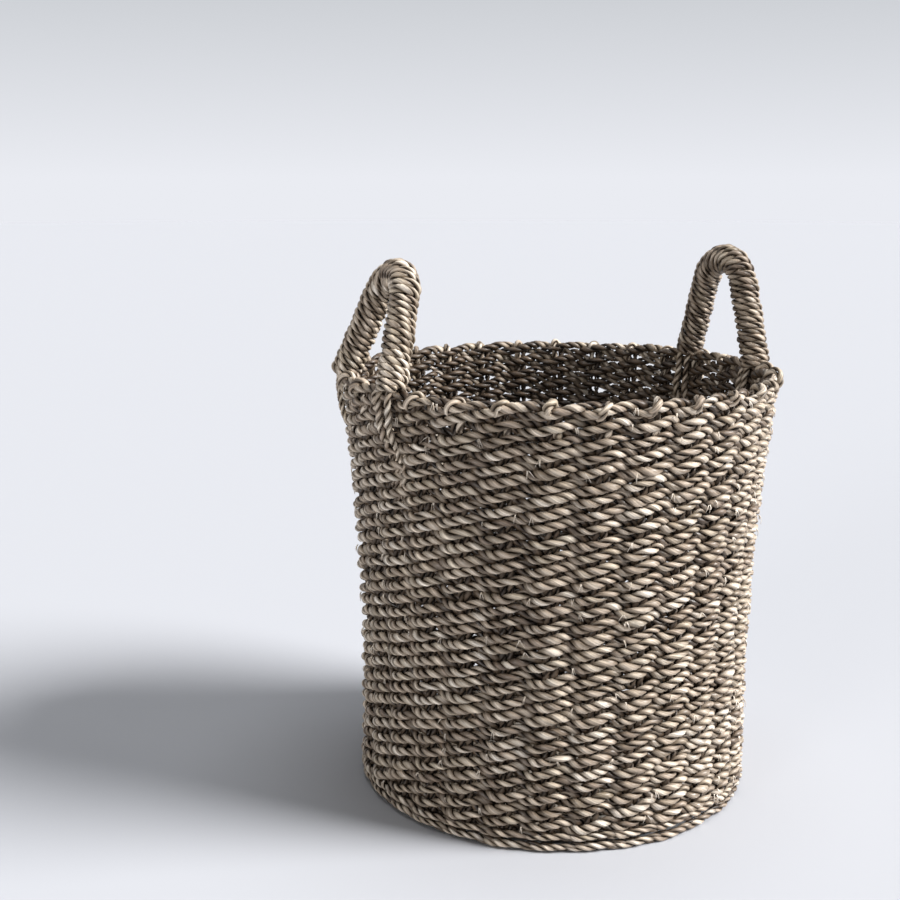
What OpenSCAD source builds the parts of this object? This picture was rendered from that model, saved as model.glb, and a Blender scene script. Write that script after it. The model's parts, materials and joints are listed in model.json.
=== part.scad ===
// Round seagrass basket with twined rows and two wrapped loop handles.
// Millimetres, +Z up. The origin is on the floor under the middle of the basket,
// and the two handles stand on the X axis.

/* [Wall] */
// Outer radius of the wall at its waist
waist_r = 156; // [130:1:190]
// How far the top row stands out beyond the waist
flare = 15; // [5:0.5:20]
// Height of the waist, from which the wall flares up and down
waist_z = 84; // [60:1:110]
// Number of twined rows in the wall
row_count = 31; // [24:1:33]
// Height of one twined row
row_h = 10; // [8:0.1:12]
// Thickness of one weft cord through the wall
weft_t = 4.4; // [3.5:0.1:5.5]

/* [Base] */
// Number of twined rounds in the base
round_count = 11; // [9:1:13]

/* [Stakes] */
// Number of upright stakes
stake_count = 30; // [26:2:34]
// Thickness of a stake
stake_d = 4.6; // [3.6:0.1:5.4]
// Bend radius of a stake at the corner of the base
stake_bend = 9; // [7:0.5:14]
// How far past a half turn a stake's folded end is tucked in, in degrees
fold_tuck = 15; // [0:1:20]

/* [Handles] */
// Height of a handle's middle above its hinge line
handle_rise = 75; // [65:1:100]
// Bend radius at the top of a handle
handle_bend = 26; // [22:0.5:32]
// Thickness of the handle's core
core_d = 13; // [10:0.5:15]
// Thickness of the cord wrapped round the core
wrap_t = 4; // [3:0.1:5]
// Number of loops of the doubled wrapping cord
wrap_loops = 24; // [16:1:24]
// Space between neighbouring loops, along the core
wrap_gap = 1; // [0.9:0.05:1.5]
// Stake beside which each leg is tucked in, counted from the handle's middle
leg_stake = 1; // [1:1:3]
// Distance between the two tails of a leg
tail_pitch = 6.5; // [6.2:0.1:8]
// Depth to which the tails of a leg reach into the wall
tail_depth = 80; // [40:1:120]
// Lean of the left handle towards the middle of the basket, in degrees
left_lean = 18; // [0:1:30]
// Lean of the right handle towards the middle of the basket, in degrees
right_lean = 0; // [0:1:30]

/* [Fits] */
// Space between a stake and the cords on either side of it
cord_gap = 0.3; // [0.2:0.05:0.5]
// Space between neighbouring rows
row_gap = 0.2; // [0.1:0.05:0.4]
// Space round the foot of a handle leg
hinge_gap = 0.4; // [0.3:0.05:0.8]
// Space between the foot of a leg and the stake beside it
foot_side_gap = 1.2; // [1:0.1:1.5]
// How much thicker than the core the foot of a leg is, on each side
foot_extra = 0.5; // [0.3:0.1:1]

/* [Hidden] */
$fn = 48;
// Facets of a full turn of a wide arc
wide_fn = 1024;
// How much thinner a bend is than the bars it joins, on each side
bend_ease = 0.05;
// How far a bend runs on inside the bars it joins, in degrees
bend_end = 2;
// Width of the flat on the edge of a cord ring, as a share of its thickness
cord_edge = 0.4;
// Sections in one loop of the wrapping
loop_sections = 12;

// Offset of a weft cord's middle from the stakes
weft_off = stake_d / 2 + cord_gap + weft_t / 2;
// Radius of the circle of stakes at the waist
stake_r = waist_r - weft_off - weft_t / 2;

// Heights in the base: a cord, the stakes and a cord again
spoke_z = weft_t + cord_gap + stake_d / 2;
upper_round_z = spoke_z + weft_off;
base_t = upper_round_z + weft_t / 2;
bend_z = spoke_z + stake_bend;

// Heights in the wall
row_step = row_h + row_gap;
row_z0 = max(base_t + row_gap, bend_z - weft_t / 2);
wall_top = row_z0 + row_count * row_step - row_gap;
fold_z = wall_top - weft_t / 2;

// Arc of the wall, from the corner up to the fold
flare_h = fold_z - waist_z;
flare_bend = (flare_h * flare_h + flare * flare) / (2 * flare);
fold_lean = asin(flare_h / flare_bend);
rim_stake_r = stake_r + flare;
corner_z = bend_z - stake_bend * (bend_z - waist_z) / flare_bend;
corner_lean = wall_lean(corner_z);
corner_r = wall_r(corner_z);

// The two cord rings that close the corner under the first row
wale_h = (row_z0 - 2 * row_gap) / 2;

// The rounds of the base, from the corner to the middle
stake_step = 360 / stake_count;
cross_pitch = stake_d + cord_gap;
spoke_r0 = stake_count * (stake_d + 2 * cord_gap) / (2 * PI);
base_r = corner_r - stake_bend * cos(corner_lean);
round_step = (base_r - spoke_r0) / round_count;
round_w = round_step - row_gap;
cross_r = spoke_r0 - cord_gap;
cross_side = floor((cross_r / sqrt(2) - stake_d / 2) / cross_pitch);

// Where a handle's legs meet the rim
core_r = core_d / 2;
foot_r = core_r + foot_extra;
tail_step = tail_pitch / rim_stake_r * 180 / PI;
leg_angle = leg_stake * stake_step + 1.5 * tail_step;
hinge_x = rim_stake_r * cos(leg_angle);
leg_y = rim_stake_r * sin(leg_angle);
hinge_z = wall_top + hinge_gap + foot_r;
foot_half = 1.5 * tail_pitch - stake_d / 2 - foot_side_gap;

// The handle's middle line: a leaning leg, an arc over the top and the other leg
arch_z = handle_rise - handle_bend;
arch_reach = sqrt(leg_y * leg_y + arch_z * arch_z);
leg_lean = atan(leg_y / arch_z) - asin(handle_bend / arch_reach);
leg_len = sqrt(arch_reach * arch_reach - handle_bend * handle_bend);
arc_len = handle_bend * (180 - 2 * leg_lean) * PI / 180;
arch_len = 2 * leg_len + arc_len;

// The wrapping, from one foot to the other
wrap_s0 = foot_r + cord_gap;
wrap_pitch = (arch_len - 2 * wrap_s0 + wrap_gap) / (wrap_loops + 1);
wrap_w = wrap_pitch - wrap_gap;
wrap_r0 = (core_r + cord_gap) / cos(180 / loop_sections);
wrap_r1 = wrap_r0 + wrap_t;
wrap_rm = (wrap_r0 + wrap_r1) / 2;

// Radius of the circle of stakes at a height, and the wall's lean there
function wall_r(z) = stake_r + flare_bend - sqrt(pow(flare_bend, 2) - pow(z - waist_z, 2));
function wall_lean(z) = asin((z - waist_z) / flare_bend);
function row_z(i) = row_z0 + (i - 0.5) * row_h + (i - 1) * row_gap;

function numbered(name, i) = str(name, i < 10 ? "_0" : "_", i);
ROWS = [for (i = [1:row_count]) numbered("weft_row", i)];
ROUNDS = [for (i = [1:round_count]) numbered("base_round", i)];

// Section of a cord ring that fills a row: long across, chamfered to a narrow edge at both ends
module cord_section(thick, long) {
    side = (long - thick) / 2;
    edge = cord_edge * thick / 2;
    polygon([
        [thick / 2, -side],
        [thick / 2, side],
        [edge, long / 2],
        [-edge, long / 2],
        [-thick / 2, side],
        [-thick / 2, -side],
        [-edge, -long / 2],
        [edge, -long / 2]
    ]);
}

// A round bar bent to an arc in the XZ plane, about a centre in that plane
module bent_bar(d, bend_r, centre_x, centre_z, from, turn, facets) {
    translate([centre_x, 0, centre_z])
        rotate([90, 0, 0])
            rotate_extrude(angle = turn, start = from, $fn = facets)
                translate([bend_r, 0]) circle(d = d, $fn = 48);
}

// One stake: a spoke of the base, up the wall, and folded out over the top row.
// The bends are a touch thinner than the bars, and run on a little inside them.
module stake() {
    bend_d = stake_d - 2 * bend_ease;
    wall_turn = fold_lean - corner_lean;
    fold_x = rim_stake_r + weft_off * cos(fold_lean);
    fold_mid_z = fold_z - weft_off * sin(fold_lean);
    translate([spoke_r0, 0, spoke_z])
        rotate([0, 90, 0]) cylinder(d = stake_d, h = base_r - spoke_r0);
    bent_bar(bend_d, stake_bend, base_r, bend_z, -90 - bend_end, 90 - corner_lean + 2 * bend_end, 48);
    bent_bar(stake_d, flare_bend, stake_r + flare_bend, waist_z, 180 - fold_lean, wall_turn, wide_fn);
    bent_bar(bend_d, weft_off, fold_x, fold_mid_z, -fold_lean - fold_tuck, 180 + fold_tuck + bend_end, 48);
}

module stakes() {
    color("#8a7a5c")
        for (i = [0:stake_count - 1]) {
            rotate([0, 0, i * stake_step]) stake();
        }
}

// One layer of the crossed cords from which the base starts
module cross_layer(z) {
    for (i = [-cross_side:cross_side]) {
        y = i * cross_pitch;
        half = sqrt(pow(cross_r, 2) - pow(abs(y) + stake_d / 2, 2));
        translate([-half, y, z])
            rotate([0, 90, 0]) cylinder(d = stake_d, h = 2 * half);
    }
}

module base_cross_lower() {
    color("#9a8a6c") cross_layer(spoke_z - cross_pitch / 2);
}

module base_cross_upper() {
    color("#a39374") rotate([0, 0, 90]) cross_layer(spoke_z + cross_pitch / 2);
}

// The corner between base and wall: two cords that run round outside the stakes
module corner_wale() {
    color("#a89a7e")
        for (i = [0, 1]) {
            rotate_extrude()
                translate([corner_r + weft_off, wale_h / 2 + i * (wale_h + row_gap)])
                    cord_section(weft_t, wale_h);
        }
}

// One round of the base: a cord under the spokes and a cord over them
module base_round(i) {
    r = base_r - (i - 1) * round_step - round_w / 2;
    color("#b0a286")
        for (z = [weft_t / 2, upper_round_z]) {
            rotate_extrude()
                translate([r, z]) rotate(90) cord_section(weft_t, round_w);
        }
}

// One row of the wall: a cord outside the stakes and a cord inside them
module weft_row(i) {
    z = row_z(i);
    color("#b8ab90")
        for (side = [-1, 1]) {
            rotate_extrude()
                translate([wall_r(z), z])
                    rotate(-wall_lean(z))
                        translate([side * weft_off, 0]) cord_section(weft_t, row_h);
        }
}

// Puts a handle on the rim: side 1 is on +X, side -1 on -X
module on_rim(side, lean) {
    rotate([0, 0, side > 0 ? 0 : 180])
        translate([hinge_x, 0, hinge_z])
            rotate([0, -lean, 0]) children();
}

// The core rope of a handle, with a round foot on each leg along the hinge line
module handle_core(side, lean) {
    leg_start = core_r * tan(leg_lean);
    crown_lean = leg_lean - bend_end;
    color("#97876a")
        on_rim(side, lean) {
            for (leg = [1, -1]) {
                translate([0, leg * leg_y, 0])
                    rotate([leg * leg_lean, 0, 0])
                        translate([0, 0, leg_start]) cylinder(d = core_d, h = leg_len - leg_start);
                translate([0, leg * leg_y + foot_half, 0])
                    rotate([90, 0, 0]) cylinder(r = foot_r, h = 2 * foot_half);
            }
            translate([0, 0, arch_z])
                rotate([90, 0, 90])
                    rotate_extrude(angle = 180 - 2 * crown_lean, start = crown_lean, $fn = 96)
                        translate([handle_bend, 0]) circle(d = core_d - 2 * bend_ease, $fn = 48);
        }
}

// Direction of the outer side of the arch, as an angle, and the middle line's place
function arch_heading(s) = s < leg_len
    ? leg_lean
    : s > leg_len + arc_len
        ? 180 - leg_lean
        : leg_lean + (s - leg_len) / handle_bend * 180 / PI;
function arch_point(s) = s < leg_len
    ? [leg_y - s * sin(leg_lean), s * cos(leg_lean)]
    : s > leg_len + arc_len
        ? [(arch_len - s) * sin(leg_lean) - leg_y, (arch_len - s) * cos(leg_lean)]
        : [handle_bend * cos(arch_heading(s)), arch_z + handle_bend * sin(arch_heading(s))];

// A point round the core: s along the middle line, turn about it, r out from it
function wrap_point(s, turn, r) =
    let (m = arch_point(s), h = arch_heading(s), out = r * cos(turn))
    [r * sin(turn), m[0] + out * cos(h), m[1] + out * sin(h)];

// The six points of the wrapping's section at one turn: two cords side by side
function wrap_section(turn) =
    let (s = wrap_s0 + wrap_w / 2 + wrap_pitch * turn / 360)
    [
        wrap_point(s - wrap_w / 2, turn, wrap_rm),
        wrap_point(s - wrap_w / 4, turn, wrap_r0),
        wrap_point(s + wrap_w / 4, turn, wrap_r0),
        wrap_point(s + wrap_w / 2, turn, wrap_rm),
        wrap_point(s + wrap_w / 4, turn, wrap_r1),
        wrap_point(s - wrap_w / 4, turn, wrap_r1)
    ];
section_points = 6;
wrap_sections = wrap_loops * loop_sections;
wound = [for (i = [0:wrap_sections]) wrap_section(i * 360 / loop_sections)];

// Each end of the cord runs straight on for one thickness
function run_on(last, before) =
    let (way = last[0] - before[0], step = way / norm(way) * wrap_t)
    [for (p = last) p + step];
wrap_rings = concat(
    [run_on(wound[0], wound[1])],
    wound,
    [run_on(wound[wrap_sections], wound[wrap_sections - 1])]
);

// Least distance between a loop's edge and the next loop's, on the section points
least_wrap_gap = min([
    for (i = [0:wrap_sections - loop_sections], j = [2, 3, 4])
        let (p = wound[i][j])
        for (k = [-1, 0, 1])
            let (n = min(max(i + loop_sections + k, 0), wrap_sections))
            for (m = [0, 1, 5]) norm(p - wound[n][m])
]);
echo(least_wrap_gap = least_wrap_gap);

module handle_wrap(side, lean) {
    points = [for (ring = wrap_rings, p = ring) p];
    last = len(wrap_rings) - 1;
    sides = [
        for (i = [0:last - 1], j = [0:section_points - 1])
            let (a = i * section_points + j, b = i * section_points + (j + 1) % section_points)
            each [[a, b, b + section_points], [a, b + section_points, a + section_points]]
    ];
    caps = [
        for (j = [1:section_points - 2])
            each [
                [0, j + 1, j],
                [last * section_points, last * section_points + j, last * section_points + j + 1]
            ]
    ];
    color("#c2b59b")
        on_rim(side, lean) polyhedron(points, concat(sides, caps));
}

// The tails of a handle's legs, pushed down into the wall beside a stake.
// A tail is straight, so it is thinner than a stake by the bow of the wall along it.
module handle_tails(side) {
    end_z = fold_z - tail_depth;
    end_lean = wall_lean(end_z);
    half_turn = (wall_lean(hinge_z) - end_lean) / 2;
    bow = flare_bend * (1 - cos(half_turn));
    color("#84745a")
        rotate([0, 0, side > 0 ? 0 : 180])
            difference() {
                for (leg = [1, -1], tail = [1, 2]) {
                    rotate([0, 0, leg * (leg_stake * stake_step + tail * tail_step)])
                        translate([wall_r(end_z), 0, end_z])
                            rotate([0, end_lean + half_turn, 0])
                                cylinder(d = stake_d - 2 * bow, h = 2 * flare_bend * sin(half_turn));
                }
                translate([hinge_x, 0, hinge_z])
                    rotate([90, 0, 0])
                        cylinder(r = foot_r + hinge_gap, h = 2 * rim_stake_r, center = true);
            }
}

stakes();
base_cross_lower();
base_cross_upper();
corner_wale();
for (i = [1:round_count]) {
    base_round(i);
}
for (i = [1:row_count]) {
    weft_row(i);
}
handle_core(-1, left_lean);  // handle_left_core
handle_wrap(-1, left_lean);  // handle_left_wrap
handle_tails(-1);  // handle_left_tails
handle_core(1, right_lean);  // handle_right_core
handle_wrap(1, right_lean);  // handle_right_wrap
handle_tails(1);  // handle_right_tails
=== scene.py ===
"""Looks of the woven seagrass basket: twined two-ply cords, wrapped handles and a pale studio.

Metres, +Z up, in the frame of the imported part. Every cord of the weave is modelled as two twisted
plies. The rows, rounds, stakes and handles sit where the CAD nodes are and stand for them.
"""

import json
import math

import bpy
import numpy as np
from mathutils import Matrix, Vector


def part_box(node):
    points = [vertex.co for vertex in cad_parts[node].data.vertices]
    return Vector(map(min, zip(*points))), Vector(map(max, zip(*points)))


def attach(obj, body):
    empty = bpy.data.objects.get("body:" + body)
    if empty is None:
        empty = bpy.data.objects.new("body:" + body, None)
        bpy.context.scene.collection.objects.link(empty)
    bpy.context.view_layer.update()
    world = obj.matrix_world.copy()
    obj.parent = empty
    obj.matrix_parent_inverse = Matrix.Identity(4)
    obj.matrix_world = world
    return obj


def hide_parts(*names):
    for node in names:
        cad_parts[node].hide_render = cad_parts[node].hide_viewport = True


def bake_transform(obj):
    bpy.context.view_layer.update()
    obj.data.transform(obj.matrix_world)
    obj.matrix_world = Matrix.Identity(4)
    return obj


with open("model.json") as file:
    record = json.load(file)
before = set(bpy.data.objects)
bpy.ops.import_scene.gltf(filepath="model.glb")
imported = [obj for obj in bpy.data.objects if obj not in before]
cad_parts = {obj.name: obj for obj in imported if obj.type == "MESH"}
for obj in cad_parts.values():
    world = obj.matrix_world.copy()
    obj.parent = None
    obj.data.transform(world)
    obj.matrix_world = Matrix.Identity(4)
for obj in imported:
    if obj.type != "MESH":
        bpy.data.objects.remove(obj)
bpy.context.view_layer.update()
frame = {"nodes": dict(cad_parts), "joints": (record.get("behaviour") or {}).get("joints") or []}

MM = 0.001
RNG = np.random.default_rng(7)

# The weave: its stakes, half the wall's thickness, and the thickness of a weft cord, the length
# of one turn of its twist, and how far it swings in and out and up and down about the stakes
STAKES = 30
STAKE_STEP = 2 * math.pi / STAKES
WALL_HALF = 7.0 * MM
CORD = 6.7 * MM
CORD_LAY = 19.5 * MM
CORD_SWING = 3.9 * MM
CORD_RISE = 3.2 * MM
# How uneven a row is: in and out, up and down, and where its cords cross, as an angle
ROW_SWAY = 0.35 * MM
ROW_LIFT = 0.75 * MM
ROW_DRIFT = 0.2
# Painted shade: how dark, in each colour, the cords on the wall's inner side and the stakes are
PAINTED_INNER_SHADE = np.array([0.17, 0.135, 0.105])
# The cosine of a cord's phase where it begins to come out of that shade, and where it is out
INNER_FADE = [-0.3, 0.5]
# Distance between the points of a ring
RING_STEP = 1.3 * MM

# One cord: how its two plies lie about its middle line, as shares of its thickness
PLY_OFF = 0.27
PLY_THIN = 0.25
PLY_WIDE = 0.36
# How uneven a cord is from one knot to the next: its twist, as an angle, its thickness, its plies
KNOT = 22 * MM
CORD_SLIP = 0.6
CORD_UNEVEN = 0.08
PLY_UNEVEN = 0.13
# An open end grows from this share of the cord's thickness, by the whole of it in this length
END_SHARE = 0.45
END_LENGTH = 2 * MM
# How much darker a ply is painted on its inner side, as painted shade in the crease between
# plies, how fast that comes on round the ply, and how much more of it each colour gets
PAINTED_CREASE_SHADE = 0.97
PAINTED_CREASE_FALL = 0.5
PAINTED_CREASE_WARMTH = np.array([1.0, 1.1, 1.22])

# Space between strips of a piece's bake map, as a share of the map
BAKE_PAD = 2.5 / 1024
# How much smaller the strips are made at each try to fit them on the map
BAKE_SHRINK = 0.97

# Shades of dried leaf, as linear colour
PALE = np.array([0.95, 0.87, 0.77])
STRAW = np.array([0.78, 0.675, 0.555])
TAUPE = np.array([0.52, 0.425, 0.335])
OLIVE = np.array([0.47, 0.41, 0.285])
BROWN = np.array([0.22, 0.163, 0.120])

# How a ply's shade changes: from leaf to leaf, from patch to patch on a leaf, and towards green
LEAF = 70 * MM
PATCH = 9 * MM
LEAF_LIGHT = 0.52
LEAF_SPREAD = 0.24
PATCH_SPREAD = 0.13
GREEN_SPREAD = 0.55
GREEN_MOST = 0.35

# The picture: how far its right is turned from +X, and the camera's place in metres right, away
# and up in it, how far down it looks and its lens
VIEW_TURN = math.radians(25)
VIEW_PLACE = Vector((-0.084, -1.015, 0.478))
VIEW_DOWN = math.radians(11.85)
VIEW_LENS = 52


def picture_to_frame(p):
    """A point or direction given right, away and up in the picture, in the part's frame."""
    c, s = math.cos(VIEW_TURN), math.sin(VIEW_TURN)
    return Vector((p[0] * c + p[1] * s, -p[0] * s + p[1] * c, p[2]))


def make_camera():
    data = bpy.data.cameras.new("camera")
    data.lens = VIEW_LENS
    camera = bpy.data.objects.new("camera", data)
    camera.location = picture_to_frame(VIEW_PLACE)
    look = picture_to_frame((0, math.cos(VIEW_DOWN), -math.sin(VIEW_DOWN)))
    camera.rotation_euler = look.to_track_quat("-Z", "Y").to_euler()
    bpy.context.scene.collection.objects.link(camera)
    bpy.context.scene.camera = camera


# Paths and strands

# Steps of a smooth path from one of its given points to the next
CURVE_STEPS = 24


def unit(v):
    return v / np.linalg.norm(v, axis=-1, keepdims=True)


def along(path, closed=False):
    """Length along a path at each of its points, and its whole length."""
    ends = np.vstack([path, path[:1]]) if closed else path
    steps = np.linalg.norm(np.diff(ends, axis=0), axis=1)
    s = np.concatenate([[0], np.cumsum(steps)])
    return s[: len(path)], s[-1]


def cross_frame(path, hint, closed):
    """Two directions across a path at each point: the hint made square to it, and the other."""
    if closed:
        way = np.roll(path, -1, 0) - np.roll(path, 1, 0)
    else:
        way = np.gradient(path, axis=0)
    way = unit(way)
    normal = unit(hint - (hint * way).sum(1, keepdims=True) * way)
    return normal, np.cross(way, normal)


def resample(points, step):
    """A smooth open path through a few points, with its own points a step apart."""
    p = np.asarray(points, float)
    ext = np.vstack([2 * p[0] - p[1], p, 2 * p[-1] - p[-2]])
    fine = []
    for i in range(len(p) - 1):
        a, b, c, d = ext[i : i + 4]
        t = np.linspace(0, 1, CURVE_STEPS, endpoint=False)[:, None]
        fine.append(
            0.5 * (2 * b + (c - a) * t + (2 * a - 5 * b + 4 * c - d) * t**2
                   + (3 * b - a - 3 * c + d) * t**3)
        )
    fine = np.vstack([*fine, p[-1:]])
    s, whole = along(fine)
    at = np.linspace(0, whole, max(4, int(round(whole / step)) + 1))
    return np.stack([np.interp(at, s, fine[:, k]) for k in range(3)], 1)


def wobble(count, knots, amount, closed=False):
    """A smooth random value at each of count points, about zero."""
    knots = max(4, int(knots))
    v = RNG.normal(0, amount, knots)
    if closed:
        v = np.append(v, v[0])
    t = np.linspace(0, len(v) - 1, count, endpoint=not closed)
    i = np.minimum(t.astype(int), len(v) - 2)
    f = t - i
    f = f * f * (3 - 2 * f)
    return v[i] * (1 - f) + v[i + 1] * f


def leaf_tones(count, length, closed=False, dark=0.0):
    """Colour along one ply: leaves of several shades one after another, each of them patchy."""
    leaves = length / LEAF
    light = LEAF_LIGHT + wobble(count, leaves, LEAF_SPREAD, closed) - dark
    light = light + wobble(count, length / PATCH, PATCH_SPREAD, closed)
    light = np.clip(light, 0, 1)[:, None]
    green = np.clip(wobble(count, leaves, GREEN_SPREAD, closed), 0, 1)[:, None]
    low = np.clip(light * 3, 0, 1)
    mid = np.clip(light * 3 - 1, 0, 1)
    high = np.clip(light * 3 - 2, 0, 1)
    tone = BROWN + (TAUPE - BROWN) * low + (STRAW - TAUPE) * mid + (PALE - STRAW) * high
    return tone + (OLIVE - tone) * green * GREEN_MOST


class Strands:
    """The tubes of one piece, gathered into one mesh."""

    def __init__(self, sides=6):
        self.sides = sides
        self.points, self.tones, self.quads, self.caps, self.runs = [], [], [], [], []
        self.count = 0

    def tube(self, path, hint, thin, wide, tone, closed=False, crease=0.0):
        """A tube along a path. Thin is its half size along the hint, wide the other."""
        n, sides = len(path), self.sides
        normal, side = cross_frame(path, hint, closed)
        thin, wide = np.broadcast_to(thin, n), np.broadcast_to(wide, n)
        turn = math.pi + 2 * math.pi * np.arange(sides) / sides
        ring = path[:, None] + (thin[:, None] * np.cos(turn))[..., None] * normal[:, None]
        ring = ring + (wide[:, None] * np.sin(turn))[..., None] * side[:, None]
        spans = n if closed else n - 1
        i, j = np.meshgrid(np.arange(spans), np.arange(sides), indexing="ij")
        i2, j2 = (i + 1) % n, (j + 1) % sides
        quads = np.stack(
            [i * sides + j, i * sides + j2, i2 * sides + j2, i2 * sides + j], -1
        )
        self.points.append(ring.reshape(-1, 3))
        # Painted shade: each point darker towards the ply's inner side, and warmer there
        shade = 1 - crease * ((1 - np.cos(turn)) / 2) ** PAINTED_CREASE_FALL
        shade = shade[:, None] ** PAINTED_CREASE_WARMTH
        self.tones.append((tone[:, None] * shade).reshape(-1, 3))
        self.quads.append(self.count + quads.reshape(-1, 4))
        ends = []
        if not closed:
            order = np.arange(sides)
            ends = [self.count + order[::-1], self.count + (n - 1) * sides + order]
        self.caps.append(ends)
        girth = math.pi * (thin.mean() + wide.mean())
        self.runs.append((spans, along(path, closed)[1], girth))
        self.count += n * sides

    def cord(self, path, hint, thick, lay, closed=False, dark=0.0, shade=1.0):
        """A cord of two plies, laid right-handed about a path. Its open ends taper."""
        n = len(path)
        s, whole = along(path, closed)
        turns = max(1, round(whole / lay)) if closed else whole / lay
        normal, side = cross_frame(path, hint, closed)
        knots = whole / KNOT
        start = RNG.uniform(0, 2 * math.pi)
        slip = wobble(n, knots, CORD_SLIP, closed)
        thick = np.broadcast_to(thick, n) * (1 + wobble(n, knots, CORD_UNEVEN, closed))
        if not closed:
            thick = thick * np.clip(np.minimum(s, whole - s) / END_LENGTH + END_SHARE, 0, 1)
        # A ply's colour is its leaf tone times the painted shade given, with painted shade in its
        # crease
        for ply in (0, math.pi):
            angle = (start + ply + 2 * math.pi * turns * s / whole + slip)[:, None]
            out = np.cos(angle) * normal + np.sin(angle) * side
            fat = thick * (1 + wobble(n, 2 * knots, PLY_UNEVEN, closed))
            self.tube(
                path + (PLY_OFF * thick)[:, None] * out,
                out,
                PLY_THIN * fat,
                PLY_WIDE * fat,
                leaf_tones(n, whole, closed, dark) * shade,
                closed,
                PAINTED_CREASE_SHADE,
            )

    def strip_layout(self):
        """Scale of the bake map, and each tube's spans per strip and the strips' corners."""
        scale = 1 / math.sqrt(sum(length * girth for _, length, girth in self.runs))
        while True:
            x, y, shelf, rows = BAKE_PAD, 0.0, 0.0, []
            for spans, length, girth in self.runs:
                wide = length / spans * scale
                per = max(1, int((1 - 3 * BAKE_PAD) / wide))
                corners = []
                for first in range(0, spans, per):
                    room = min(per, spans - first) * wide + BAKE_PAD
                    if x + room > 1:
                        x, y, shelf = BAKE_PAD, y + shelf, 0.0
                    corners.append((x, y + BAKE_PAD / 2))
                    x += room
                    shelf = max(shelf, girth * scale + BAKE_PAD)
                rows.append((per, np.array(corners)))
            if y + shelf <= 1:
                return scale, rows
            scale *= BAKE_SHRINK

    def maps(self):
        """UV of every corner: the strand map in metres, and the strips of the bake map."""
        scale, rows = self.strip_layout()
        strand, bake, strand_caps, bake_caps = [], [], [], []
        for (spans, length, girth), (per, corners), ends in zip(self.runs, rows, self.caps):
            step, high = length / spans, girth / self.sides
            i, j = np.meshgrid(np.arange(spans), np.arange(self.sides), indexing="ij")
            i, j = i.ravel(), j.ravel()
            u0, v0 = i * step, j * high
            u1, v1 = u0 + step, v0 + high
            strand.append(np.stack([u0, v0, u0, v1, u1, v1, u1, v0], 1).reshape(-1, 2))
            b0 = corners[i // per, 0] + (i % per) * step * scale
            w0 = corners[i // per, 1] + v0 * scale
            b1, w1 = b0 + step * scale, w0 + high * scale
            bake.append(np.stack([b0, w0, b0, w1, b1, w1, b1, w0], 1).reshape(-1, 2))
            v = np.arange(self.sides) * high
            for end, _ in enumerate(ends):
                strand_caps.append(np.stack([np.full(self.sides, end * length), v], 1))
                last = ((spans - 1) % per + 1) * step * scale * end
                corner = corners[-1 if end else 0]
                bake_caps.append(np.stack([corner[0] + last + 0 * v, corner[1] + v * scale], 1))
        return np.vstack(strand + strand_caps), np.vstack(bake + bake_caps)

    def build(self, name, material):
        """The mesh object of all the tubes, with its maps, colours and material."""
        quads = np.vstack(self.quads)
        caps = [cap for ends in self.caps for cap in ends]
        corners = np.concatenate([quads.ravel(), *caps])
        starts = np.concatenate(
            [4 * np.arange(len(quads)), 4 * len(quads) + self.sides * np.arange(len(caps))]
        )
        mesh = bpy.data.meshes.new(name)
        mesh.vertices.add(self.count)
        mesh.vertices.foreach_set("co", np.vstack(self.points).astype(np.float32).ravel())
        mesh.loops.add(len(corners))
        mesh.loops.foreach_set("vertex_index", corners.astype(np.int32))
        mesh.polygons.add(len(starts))
        mesh.polygons.foreach_set("loop_start", starts.astype(np.int32))
        mesh.update(calc_edges=True)
        for label, uv in zip(("strand", "OFBake"), self.maps()):
            mesh.uv_layers.new(name=label).uv.foreach_set("vector", uv.astype(np.float32).ravel())
        # Colour of each point: leaf tone with painted shade in the ply creases and on the wall's
        # inner side
        tone = mesh.attributes.new("tone", "FLOAT_VECTOR", "POINT")
        tone.data.foreach_set("vector", np.vstack(self.tones).astype(np.float32).ravel())
        mesh.shade_smooth()
        mesh.materials.append(material)
        piece = bpy.data.objects.new(name, mesh)
        bpy.context.scene.collection.objects.link(piece)
        return piece


# Materials

# Noise along and round a ply, per metre, with its detail: the fibre's streaks and wider blotches
FIBRE_NOISE = (80, 1000, 4)
BLOTCH_NOISE = (90, 160, 2)
# The part of the noise that is used, how far it darkens and lightens the tone, and how high the
# streaks stand
NOISE_RANGE = (0.3, 0.7)
FIBRE_SHADE = (0.5, 1.42)
BLOTCH_SHADE = (0.78, 1.18)
FIBRE_HEIGHT = 0.3 * MM


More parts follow.
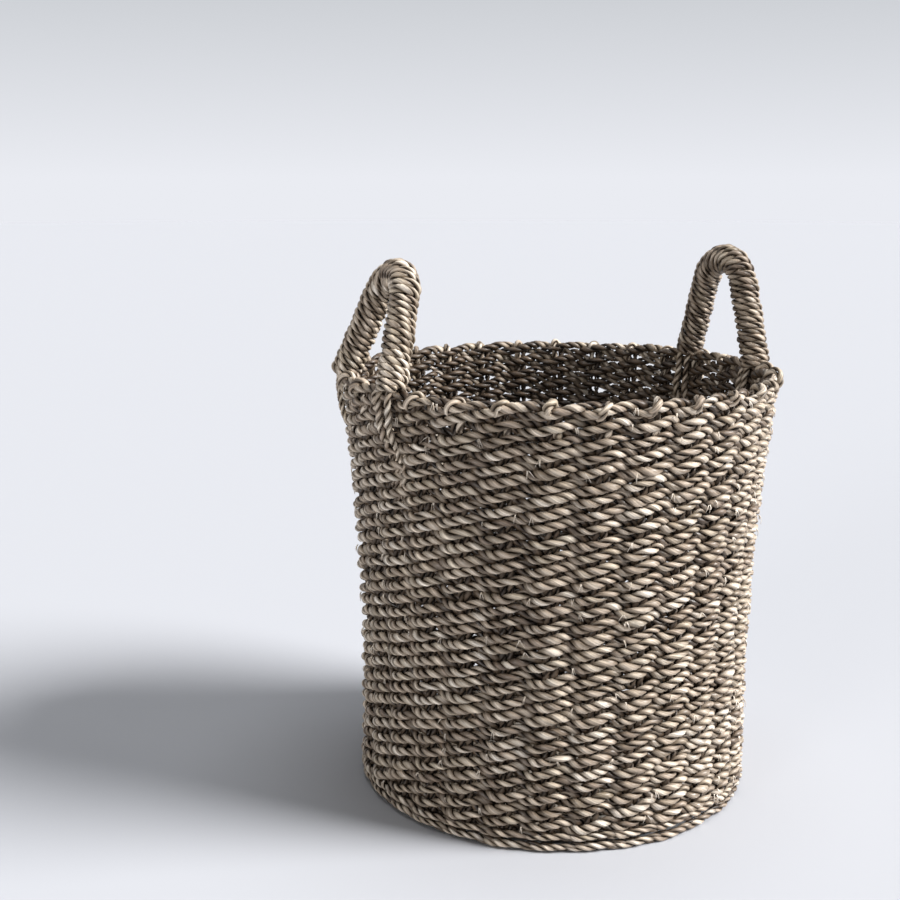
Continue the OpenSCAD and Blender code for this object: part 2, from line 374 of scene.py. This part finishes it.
def seagrass(name, rough_low, rough_high, bump):
    """Dried leaf: the strand's tone with its painted shade, streaked along the fibre, with a dull
    sheen.
    """
    material = bpy.data.materials.new(name)
    material.use_nodes = True
    nodes, links = material.node_tree.nodes, material.node_tree.links
    shader = nodes["Principled BSDF"]
    tone = nodes.new("ShaderNodeAttribute")
    tone.attribute_name = "tone"
    uv = nodes.new("ShaderNodeUVMap")
    uv.uv_map = "strand"

    def streaks(scale_along, scale_round, detail):
        place = nodes.new("ShaderNodeMapping")
        place.inputs["Scale"].default_value = (scale_along, scale_round, 1)
        links.new(uv.outputs["UV"], place.inputs["Vector"])
        noise = nodes.new("ShaderNodeTexNoise")
        noise.inputs["Scale"].default_value = 1
        noise.inputs["Detail"].default_value = detail
        links.new(place.outputs["Vector"], noise.inputs["Vector"])
        return noise.outputs["Fac"]

    def spread(value, low, high):
        ramp = nodes.new("ShaderNodeMapRange")
        ramp.inputs["From Min"].default_value = NOISE_RANGE[0]
        ramp.inputs["From Max"].default_value = NOISE_RANGE[1]
        ramp.inputs["To Min"].default_value = low
        ramp.inputs["To Max"].default_value = high
        links.new(value, ramp.inputs["Value"])
        return ramp.outputs["Result"]

    fibre = streaks(*FIBRE_NOISE)
    blotch = streaks(*BLOTCH_NOISE)
    shade = nodes.new("ShaderNodeVectorMath")
    shade.operation = "SCALE"
    links.new(tone.outputs["Vector"], shade.inputs[0])
    links.new(spread(fibre, *FIBRE_SHADE), shade.inputs["Scale"])
    mottle = nodes.new("ShaderNodeVectorMath")
    mottle.operation = "SCALE"
    links.new(shade.outputs["Vector"], mottle.inputs[0])
    links.new(spread(blotch, *BLOTCH_SHADE), mottle.inputs["Scale"])
    links.new(mottle.outputs["Vector"], shader.inputs["Base Color"])
    links.new(spread(blotch, rough_low, rough_high), shader.inputs["Roughness"])
    lift = nodes.new("ShaderNodeBump")
    lift.inputs["Strength"].default_value = bump
    lift.inputs["Distance"].default_value = FIBRE_HEIGHT
    links.new(fibre, lift.inputs["Height"])
    links.new(lift.outputs["Normal"], shader.inputs["Normal"])
    return material


# Least and greatest roughness, and strength of the bump
WEFT = seagrass("seagrass_weft", 0.32, 0.60, 0.6)
STAKE = seagrass("seagrass_stake", 0.45, 0.75, 0.5)
WRAP = seagrass("seagrass_wrap", 0.34, 0.60, 0.6)
FIBRE = seagrass("seagrass_fibre", 0.45, 0.7, 0.2)

# Places read from the frame

ROWS = sorted(n for n in frame["nodes"] if n.startswith("weft_row_"))
ROUNDS = sorted(n for n in frame["nodes"] if n.startswith("base_round_"))
ROW_BOXES = [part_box(n) for n in ROWS]
ROW_Z = np.array([(low.z + high.z) / 2 for low, high in ROW_BOXES])
ROW_R = np.array([high.x for _, high in ROW_BOXES]) - WALL_HALF
WALL_TOP = ROW_BOXES[-1][1].z
BASE_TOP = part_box(ROUNDS[0])[1].z
SPOKE_Z = BASE_TOP / 2
ROUND_PITCH = (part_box(ROUNDS[0])[1].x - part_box(ROUNDS[-1])[1].x) / (len(ROUNDS) - 1)


def wall_r(z):
    """Radius of the circle of stakes at a height."""
    return np.interp(z, ROW_Z, ROW_R)


def round_points(angle, r, z):
    return np.stack([r * np.cos(angle), r * np.sin(angle), np.broadcast_to(z, angle.shape)], 1)


def outward(angle):
    return round_points(angle, 1.0, 0.0)


def ring_angles(r, rounds=1):
    count = int(round(2 * math.pi * r * rounds / RING_STEP))
    return np.linspace(0, 2 * math.pi * rounds, count, endpoint=False)


def twined_row(strands, z, r, thick, swing, rise):
    """A pair of cords that pass before and behind the stakes in turn, and cross between them."""
    angle = ring_angles(r)
    n = len(angle)
    sway = wobble(n, STAKES, ROW_SWAY, True)
    lift = wobble(n, STAKES, ROW_LIFT, True)
    for first in (0, math.pi):
        phase = angle / STAKE_STEP * math.pi + first + wobble(n, STAKES, ROW_DRIFT, True)
        path = round_points(
            angle,
            r + sway + swing * np.cos(phase),
            z + lift + rise * np.sin(phase),
        )
        # Painted shade: darker where the cord runs on the wall's inner side
        outer = np.interp(np.cos(phase), INNER_FADE, [0, 1])[:, None]
        shade = PAINTED_INNER_SHADE + (1 - PAINTED_INNER_SHADE) * outer
        strands.cord(path, outward(angle), thick, CORD_LAY, True, shade=shade)


def put(piece, body, slot, *nodes):
    """A piece that rides on one body and stands for the nodes named."""
    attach(piece, body)
    if nodes:
        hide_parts(*nodes)


make_camera()

# Wall: two rows to a piece

ROWS_PER_PIECE = 2
for first in range(0, len(ROWS), ROWS_PER_PIECE):
    picked = range(first, min(first + ROWS_PER_PIECE, len(ROWS)))
    strands = Strands()
    for i in picked:
        twined_row(strands, ROW_Z[i], ROW_R[i], CORD, CORD_SWING, CORD_RISE)
    name = f"weave_rows_{first + 1:02d}"
    put(strands.build(name, WEFT), "basket", "weft_cord", *[ROWS[i] for i in picked])

# Corner between base and wall: two thin twined rows outside the stakes

# Thickness, swing and rise of its cords, and how far they are lifted clear of the floor
WALE_THICK = 5.0 * MM
WALE_SWING = 1.3 * MM
WALE_RISE = 0.8 * MM
WALE_LIFT = 0.9 * MM
wale_low, wale_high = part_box("corner_wale")
wale_step = (wale_high.z - wale_low.z) / 2
strands = Strands()
for i in (0, 1):
    wale_r = wale_high.x - WALE_THICK / 2 - WALE_SWING
    wale_z = wale_low.z + WALE_LIFT + (i + 0.5) * wale_step
    twined_row(strands, wale_z, wale_r, WALE_THICK, WALE_SWING, WALE_RISE)
put(strands.build("corner_cords", WEFT), "basket", "base_cord", "corner_wale")

# Base: rounds of two cords that pass over and under the spokes in turn

# How far the cords stay clear of the floor, and how far they swing up and down and in and out
BASE_CLEAR = 0.9 * MM
BASE_SWING = SPOKE_Z - CORD / 2 - BASE_CLEAR
BASE_SWAY = 1.5 * MM
BASE_UNEVEN = 0.3 * MM
BASE_DARK = 0.05
# Inside this radius a cord passes over two spokes at a time
WIDE_ROUND = 70 * MM


def twined_round(strands, r):
    """One round of the base. Over an odd number of spokes, one cord goes round twice."""
    spokes = STAKES if r > WIDE_ROUND else STAKES // 2
    rounds = 1 if spokes % 2 == 0 else 2
    for first in (0, math.pi)[: 2 // rounds]:
        angle = ring_angles(r, rounds)
        phase = angle * spokes / 2 + first
        n = len(angle)
        path = round_points(
            angle,
            r + BASE_SWAY * np.sin(phase) + wobble(n, spokes, BASE_UNEVEN, True),
            SPOKE_Z + BASE_SWING * np.cos(phase),
        )
        up = np.zeros((n, 3))
        up[:, 2] = 1
        strands.cord(path, up, CORD, CORD_LAY, True, BASE_DARK)


ROUNDS_PER_PIECE = 4
for first in range(0, len(ROUNDS), ROUNDS_PER_PIECE):
    picked = ROUNDS[first : first + ROUNDS_PER_PIECE]
    strands = Strands()
    for node in picked:
        twined_round(strands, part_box(node)[1].x - ROUND_PITCH / 2)
    name = f"base_rounds_{first + 1:02d}"
    put(strands.build(name, WEFT), "basket", "base_cord", *picked)

# Middle of the base: two layers of crossed cords

CROSS_GAP = 0.3 * MM
CROSS_END = 1 * MM
CROSS_LAY = 11 * MM
CROSS_DARK = 0.1
for node, turn in (("base_cross_lower", 0), ("base_cross_upper", 1)):
    low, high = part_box(node)
    thick = high.z - low.z
    pitch = thick + CROSS_GAP
    reach = (high.x - low.x) / 2 if turn == 0 else (high.y - low.y) / 2
    side = int((high.y - low.y if turn == 0 else high.x - low.x) / 2 / pitch)
    strands = Strands()
    for i in range(-side, side + 1):
        y = i * pitch
        half = math.sqrt(reach**2 - max(0, abs(y) - thick / 2) ** 2) - CROSS_END
        x = np.linspace(-half, half, int(2 * half / RING_STEP))
        line = np.stack([x, np.full_like(x, y), np.full_like(x, (low.z + high.z) / 2)], 1)
        if turn:
            line = line[:, [1, 0, 2]] * [-1, 1, 1]
        up = np.zeros_like(line)
        up[:, 2] = 1
        strands.cord(line, up, thick, CROSS_LAY, dark=CROSS_DARK)
    cross = strands.build(node.replace("base_cross", "start_cross"), STAKE)
    put(cross, "basket", "stake_cord", node)

# Stakes: from the middle of the base up the wall, and folded out over the top row

STAKE_THICK = 5.6 * MM
# A stake is a pair of cords side by side; each is this far from its middle
STAKE_PAIR = 2.8 * MM
STAKE_LAY = 15 * MM
STAKE_POINT_STEP = 2.1 * MM
STAKE_UNEVEN = 0.3 * MM
# Points of a stake's line up the wall, and how far below the wall's top the last is
STAKE_POINTS = 12
STAKE_TOP = 3 * MM
SPOKE_R0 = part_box("base_cross_upper")[1].y + 1 * MM
# Size of the bend from base to wall, and the shares that place the line's other points
CORNER = 9 * MM
CORNER_CUT = 0.3
SPOKE_MID = 0.55


def at_angle(angle, places):
    """Points given as out, round and up, turned to an angle about the basket's middle."""
    p = np.asarray(places, float)
    c, s = math.cos(angle), math.sin(angle)
    return np.stack([p[:, 0] * c - p[:, 1] * s, p[:, 0] * s + p[:, 1] * c, p[:, 2]], 1)


strands = Strands(5)
for k in range(STAKES):
    angle = k * STAKE_STEP
    low_r = float(wall_r(ROW_Z[0]))
    places = [
        (SPOKE_R0, 0, SPOKE_Z),
        (low_r * SPOKE_MID, 0, SPOKE_Z),
        (low_r - CORNER, 0, SPOKE_Z),
        (low_r - CORNER_CUT * CORNER, 0, SPOKE_Z + CORNER_CUT * CORNER),
    ]
    for z in np.linspace(SPOKE_Z + CORNER, WALL_TOP - STAKE_TOP, STAKE_POINTS):
        places.append((float(wall_r(z)), RNG.normal(0, STAKE_UNEVEN), z))
    hint = at_angle(angle, [(0, 1, 0)])
    for off in (-STAKE_PAIR, STAKE_PAIR):
        path = resample(at_angle(angle, places + np.array([0, off, 0])), STAKE_POINT_STEP)
        # Painted shade all along the stakes, which lie in the weave's gaps and inside the wall
        strands.cord(
            path, np.broadcast_to(hint, path.shape), STAKE_THICK, STAKE_LAY, shade=PAINTED_INNER_SHADE
        )
put(strands.build("stake_cords", STAKE), "basket", "stake_cord", "stakes")

# Rim: each stake's end loops out over the top row and is tucked in below it

FOLD_THICK = 5.4 * MM
FOLD_POINT_STEP = 1.1 * MM
FOLD_DARK = -0.04
# How much the folds differ in lean along the rim, in height and in the drop of their ends
FOLD_LEAN = 1.6 * MM
FOLD_TALL = 0.9 * MM
FOLD_DROP = 1.2 * MM
# A fold's line in mm: out from the rim's middle, along it and up from its top, and whether the
# point takes part in the lean, the height and the drop
FOLD_LINE = [
    (-0.5, 2.0, -24.0, 0, 0, 0),
    (-2.5, 3.0, -9.0, 0, 0, 0),
    (-2.5, 3.6, -3.0, 1, 0, 0),
    (1.0, 2.4, -0.4, 1, 1, 0),
    (5.6, 0.2, -1.6, 1, 1, 0),
    (7.2, -2.2, -4.2, 1, 0, 1),
    (5.2, -4.4, -7.5, 0, 0, 1),
    (0.5, -5.2, -10.0, 0, 0, 1),
]
rim_r = float(ROW_R[-1])
strands = Strands(7)
for k in range(STAKES):
    lean = RNG.normal(0, FOLD_LEAN)
    tall = RNG.normal(0, FOLD_TALL)
    drop = RNG.normal(0, FOLD_DROP)
    places = [
        (
            rim_r + out * MM,
            aside * MM + leans * lean,
            WALL_TOP + up * MM + rises * tall + falls * drop,
        )
        for out, aside, up, leans, rises, falls in FOLD_LINE
    ]
    angle = k * STAKE_STEP
    path = resample(at_angle(angle, places), FOLD_POINT_STEP)
    hint = np.broadcast_to(at_angle(angle, [(0, 1, 0)]), path.shape)
    strands.cord(path, hint, FOLD_THICK, CORD_LAY, dark=FOLD_DARK)
put(strands.build("rim_folds", WEFT), "basket", "stake_cord")

# Handles: a core rope and a cord wrapped round it, down to the rim

CORE_R = 6.5 * MM
CORE_LAY = 40 * MM
CORE_STEP = 1.6 * MM
CORE_DARK = 0.1
WRAP_THICK = 5.6 * MM
WRAP_PITCH = 5.2 * MM
WRAP_LAY = 19 * MM
WRAP_STEP = 1.25 * MM
# Painted shade on each handle's wrapping; the right one is painted darker, as if backlit
WRAP_PAINTED_SHADE = {"handle_left": 0.0, "handle_right": 0.3}
# How far the wrapping's middle is outside the core, as a share of its thickness
WRAP_SEAT = 0.42
# How uneven the wrapping is along the core and out from it, at this many places in a turn
WRAP_SLIP = 0.25 * MM
WRAP_UNEVEN = 0.22 * MM
WRAP_KNOTS = 3
# The handle's bend over the top, half the width of a leg's foot, and how far a leg goes down
# into the rim below the hinge
BEND_R = 26 * MM
FOOT_HALF = 6.25 * MM
LEG_DOWN = 9 * MM
# A handle leans only where its top is further in than this; the lean is found in a few tries
LEAN_LEAST = 2 * MM
LEAN_TRIES = 8
# A tucked tail: its thickness, step between points, darkening, unevenness and spacing by a leg
TAIL_THICK = 4.8 * MM
TAIL_POINT_STEP = 1.3 * MM
TAIL_DARK = 0.1
TAIL_UNEVEN = 0.5 * MM
TAIL_APART = 6.0 * MM
# The tails of a leg: how many times that distance aside, and 1 outside the wall or -1 inside
TAILS = [(-0.5, -1), (0.5, 1), (-1.2, 1), (1.1, -1)]
# A tail's line in mm: two points by their height above the wall's top, then more by their depth
# below it, each with its distance from the wall's middle
TAIL_TOP = [(6, 0.0), (-1, 5.0)]
TAIL_LINE = [(8, 7.6), (18, 7.8), (28, 7.6), (36, 6.0), (44, 2.0), (56, 0.0)]


class Arch:
    """The middle line of one handle: a leaning leg, a bend over the top and the other leg."""

    def __init__(self, joint, core):
        self.hinge = np.array(joint["pos_m"])
        self.side = math.copysign(1, self.hinge[0])
        low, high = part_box(core)
        self.leg_y = high.y - FOOT_HALF
        inner = low.x if self.side > 0 else -high.x
        top_z = high.z - self.hinge[2]
        self.lean = 0.0
        for _ in range(LEAN_TRIES):
            self.rise = (top_z - CORE_R) / math.cos(self.lean)
            shift = abs(self.hinge[0]) - inner - CORE_R
            self.lean = math.asin(shift / self.rise) if shift > LEAN_LEAST else 0.0
        mid = self.rise - BEND_R
        reach = math.hypot(self.leg_y, mid)
        self.slope = math.atan2(self.leg_y, mid) - math.asin(BEND_R / reach)
        self.leg = math.sqrt(reach**2 - BEND_R**2)
        self.arc = BEND_R * (math.pi - 2 * self.slope)
        self.mid = mid
        self.length = 2 * self.leg + self.arc

    def points(self, s, turn=0.0, r=0.0):
        """Points s along the middle line, r out from it at a turn about it."""
        s = np.asarray(s, float)
        head = np.clip(self.slope + (s - self.leg) / BEND_R, self.slope, math.pi - self.slope)
        below = np.minimum(s - self.leg, 0)
        beyond = np.maximum(s - self.leg - self.arc, 0)
        y = BEND_R * np.cos(head) - below * math.sin(self.slope) - beyond * math.sin(self.slope)
        z = self.mid + BEND_R * np.sin(head) + (below - beyond) * math.cos(self.slope)
        y = y + r * np.cos(turn) * np.cos(head)
        z = z + r * np.cos(turn) * np.sin(head)
        x = r * np.sin(turn) + 0 * s
        return self.placed(np.stack([x, y, z], 1))

    def placed(self, p):
        """Points of the handle's own frame, leaned over and set on the rim."""
        c, s = math.cos(self.lean), math.sin(self.lean)
        x, z = p[:, 0] * c - p[:, 2] * s, p[:, 0] * s + p[:, 2] * c
        return self.hinge + np.stack([self.side * x, self.side * p[:, 1], z], 1)


for joint in frame["joints"]:
    name = joint["child"]
    arch = Arch(joint, name + "_core")
    up = arch.placed(np.array([[0, 0, 1.0]]))[0] - arch.hinge

    s = np.arange(-LEG_DOWN, arch.length + LEG_DOWN, CORE_STEP)
    path = arch.points(s)
    hint = unit(arch.points(s, 0.5 * math.pi, CORE_R) - path)
    strands = Strands(7)
    strands.cord(path, hint, 2 * CORE_R, CORE_LAY, dark=CORE_DARK)
    core = strands.build(name + "_rope", STAKE)
    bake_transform(core)
    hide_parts(name + "_core")

    wrap_r = CORE_R + WRAP_THICK * WRAP_SEAT
    whole = arch.length + 2 * LEG_DOWN
    turns = whole / WRAP_PITCH
    count = int(turns * 2 * math.pi * wrap_r / WRAP_STEP)
    share = np.linspace(0, 1, count)
    s = -LEG_DOWN + share * whole + wobble(count, turns * WRAP_KNOTS, WRAP_SLIP)
    turn = share * turns * 2 * math.pi
    r = wrap_r + wobble(count, turns * WRAP_KNOTS, WRAP_UNEVEN)
    path = arch.points(s, turn, r)
    strands = Strands()
    strands.cord(path, unit(path - arch.points(s)), WRAP_THICK, WRAP_LAY, dark=WRAP_PAINTED_SHADE[name])
    wrap = strands.build(name + "_wrapping", WRAP)
    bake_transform(wrap)
    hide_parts(name + "_wrap")

    tail_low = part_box(name + "_tails")[0].z
    strands = Strands()
    for leg in (1, -1):
        leg_angle = leg * math.atan2(arch.leg_y, abs(arch.hinge[0]))
        for aside, face in TAILS:
            angle = leg_angle + aside * TAIL_APART / rim_r + (0 if arch.side > 0 else math.pi)
            places = [(rim_r + face * off * MM, 0, WALL_TOP + top * MM) for top, off in TAIL_TOP]
            for down, off in TAIL_LINE:
                z = WALL_TOP - down * MM
                out = float(wall_r(z)) + face * off * MM
                places.append((out, RNG.normal(0, TAIL_UNEVEN), z))
            places.append((float(wall_r(tail_low)), 0, tail_low))
            path = resample(at_angle(angle, places), TAIL_POINT_STEP)
            hint = np.broadcast_to(at_angle(angle, [(0, 1, 0)]), path.shape)
            strands.cord(path, hint, TAIL_THICK, STAKE_LAY, dark=TAIL_DARK)
    put(strands.build(name + "_tucked", WRAP), "basket", "stake_cord", name + "_tails")

# Loose fibre ends, in small bunches where cords dive into the wall

BUNCHES = 280
# Fibres in a bunch, fewer than the second number, their length and half thickness in mm, how much
# of that is lost towards the tip, and how many times wider they are
BUNCH_COUNT = (2, 5)
FIBRE_LONG = (3, 7)
FIBRE_FINE = (0.22, 0.42)
FIBRE_TAPER = 0.6
FIBRE_WIDE = 1.6
FIBRE_POINTS = 6
FIBRE_DARK = -0.3
# Where a bunch starts: out from the wall's middle in mm, aside of the crossing, and up or down
BUNCH_OUT = (4.5, 6.5)
BUNCH_ASIDE = 0.12
BUNCH_LIFT = 1.5 * MM
# How a fibre leaves the wall and droops, in shares of its length
FIBRE_SWAY = 0.35
FIBRE_OUT = (0.1, 0.6)
FIBRE_BOW = 0.6
FIBRE_CURL = 2.2
FIBRE_DROOP = 0.9
FIBRE_DROOP_POWER = 1.3
FIBRE_APART = 0.5 * MM
strands = Strands(3)
for _ in range(BUNCHES):
    row = RNG.integers(0, len(ROWS))
    angle = (RNG.integers(0, STAKES) + 0.5 + RNG.normal(0, BUNCH_ASIDE)) * STAKE_STEP
    start_r = ROW_R[row] + RNG.uniform(*BUNCH_OUT) * MM
    start_z = ROW_Z[row] + RNG.normal(0, BUNCH_LIFT)
    for _ in range(RNG.integers(*BUNCH_COUNT)):
        long = RNG.uniform(*FIBRE_LONG) * MM
        sway, out = RNG.normal(0, FIBRE_SWAY), RNG.uniform(*FIBRE_OUT)
        t = np.linspace(0, 1, FIBRE_POINTS)
        places = np.stack(
            [
                start_r + out * long * np.sin(t * FIBRE_CURL) * FIBRE_BOW,
                sway * long * t + RNG.normal(0, FIBRE_APART),
                start_z - long * t**FIBRE_DROOP_POWER * FIBRE_DROOP,
            ],
            1,
        )
        path = at_angle(angle, places)
        hint = np.broadcast_to(at_angle(angle, [(0, 1, 0)]), path.shape)
        fine = RNG.uniform(*FIBRE_FINE) * MM * (1 - FIBRE_TAPER * t)
        tone = leaf_tones(FIBRE_POINTS, long, dark=FIBRE_DARK)
        strands.tube(path, hint, fine, fine * FIBRE_WIDE, tone)
put(strands.build("loose_fibres", FIBRE), "basket", "weft_cord")

# Studio: the backdrop fades from the floor's own tone at the horizon to a greyer one above

SKY_LOW = (0.823, 0.838, 0.888, 1)
SKY_HIGH = (0.61, 0.63, 0.665, 1)
# Sine of the angle above the horizon at which the fade ends
SKY_FADE = 0.13
# The light from all round, which the camera doesn't see
AMBIENT = (1.0, 0.97, 0.94, 1)
AMBIENT_STRENGTH = 0.05
FLOOR = (0.505, 0.519, 0.557, 1)
FLOOR_RADIUS = 14
# Lamps: where each one is, right, away and up in the picture, its strength, spread and colour
LAMPS = {
    "key": ((1.0, -0.18, 0.72), 6.2, 26, (1.0, 0.985, 0.97)),
    "fill": ((-0.8, -1.0, 0.22), 1.05, 20, (1.0, 0.985, 0.97)),
    "top": ((0.1, 0.1, 1.0), 1.2, 40, (0.97, 0.985, 1.0)),
}


def make_floor():
    bpy.ops.mesh.primitive_circle_add(vertices=128, radius=FLOOR_RADIUS, fill_type="NGON")
    floor = bpy.context.object
    floor.name = "floor"
    material = bpy.data.materials.new("floor")
    material.use_nodes = True
    shader = material.node_tree.nodes["Principled BSDF"]
    shader.inputs["Base Color"].default_value = FLOOR
    shader.inputs["Roughness"].default_value = 0.9
    shader.inputs["Specular IOR Level"].default_value = 0.1
    floor.data.materials.append(material)


def make_sun(name, source, strength, spread, colour):
    """A lamp from a direction given right, away and up in the picture."""
    data = bpy.data.lights.new(name, "SUN")
    data.energy = strength
    data.angle = math.radians(spread)
    data.color = colour
    lamp = bpy.data.objects.new(name, data)
    lamp.rotation_euler = (-picture_to_frame(source)).to_track_quat("-Z", "Y").to_euler()
    bpy.context.scene.collection.objects.link(lamp)


def make_world():
    world = bpy.data.worlds.new("studio")
    bpy.context.scene.world = world
    world.use_nodes = True
    nodes, links = world.node_tree.nodes, world.node_tree.links
    nodes.clear()
    ambient = nodes.new("ShaderNodeBackground")
    ambient.inputs["Color"].default_value = AMBIENT
    ambient.inputs["Strength"].default_value = AMBIENT_STRENGTH
    shown = nodes.new("ShaderNodeBackground")
    place = nodes.new("ShaderNodeTexCoord")
    parts = nodes.new("ShaderNodeSeparateXYZ")
    links.new(place.outputs["Generated"], parts.inputs["Vector"])
    height = nodes.new("ShaderNodeMapRange")
    height.inputs["From Max"].default_value = SKY_FADE
    links.new(parts.outputs["Z"], height.inputs["Value"])
    sky = nodes.new("ShaderNodeMix")
    sky.data_type = "RGBA"
    sky.inputs["A"].default_value = SKY_LOW
    sky.inputs["B"].default_value = SKY_HIGH
    links.new(height.outputs["Result"], sky.inputs["Factor"])
    links.new(sky.outputs["Result"], shown.inputs["Color"])
    path = nodes.new("ShaderNodeLightPath")
    seen = nodes.new("ShaderNodeMath")
    seen.operation = "ADD"
    seen.use_clamp = True
    links.new(path.outputs["Is Camera Ray"], seen.inputs[0])
    links.new(path.outputs["Is Glossy Ray"], seen.inputs[1])
    mix = nodes.new("ShaderNodeMixShader")
    links.new(seen.outputs[0], mix.inputs["Fac"])
    links.new(ambient.outputs[0], mix.inputs[1])
    links.new(shown.outputs[0], mix.inputs[2])
    output = nodes.new("ShaderNodeOutputWorld")
    links.new(mix.outputs[0], output.inputs["Surface"])


make_floor()
for lamp, settings in LAMPS.items():
    make_sun(lamp, *settings)
make_world()
bpy.context.scene.view_settings.view_transform = "Standard"

bpy.context.view_layer.update()
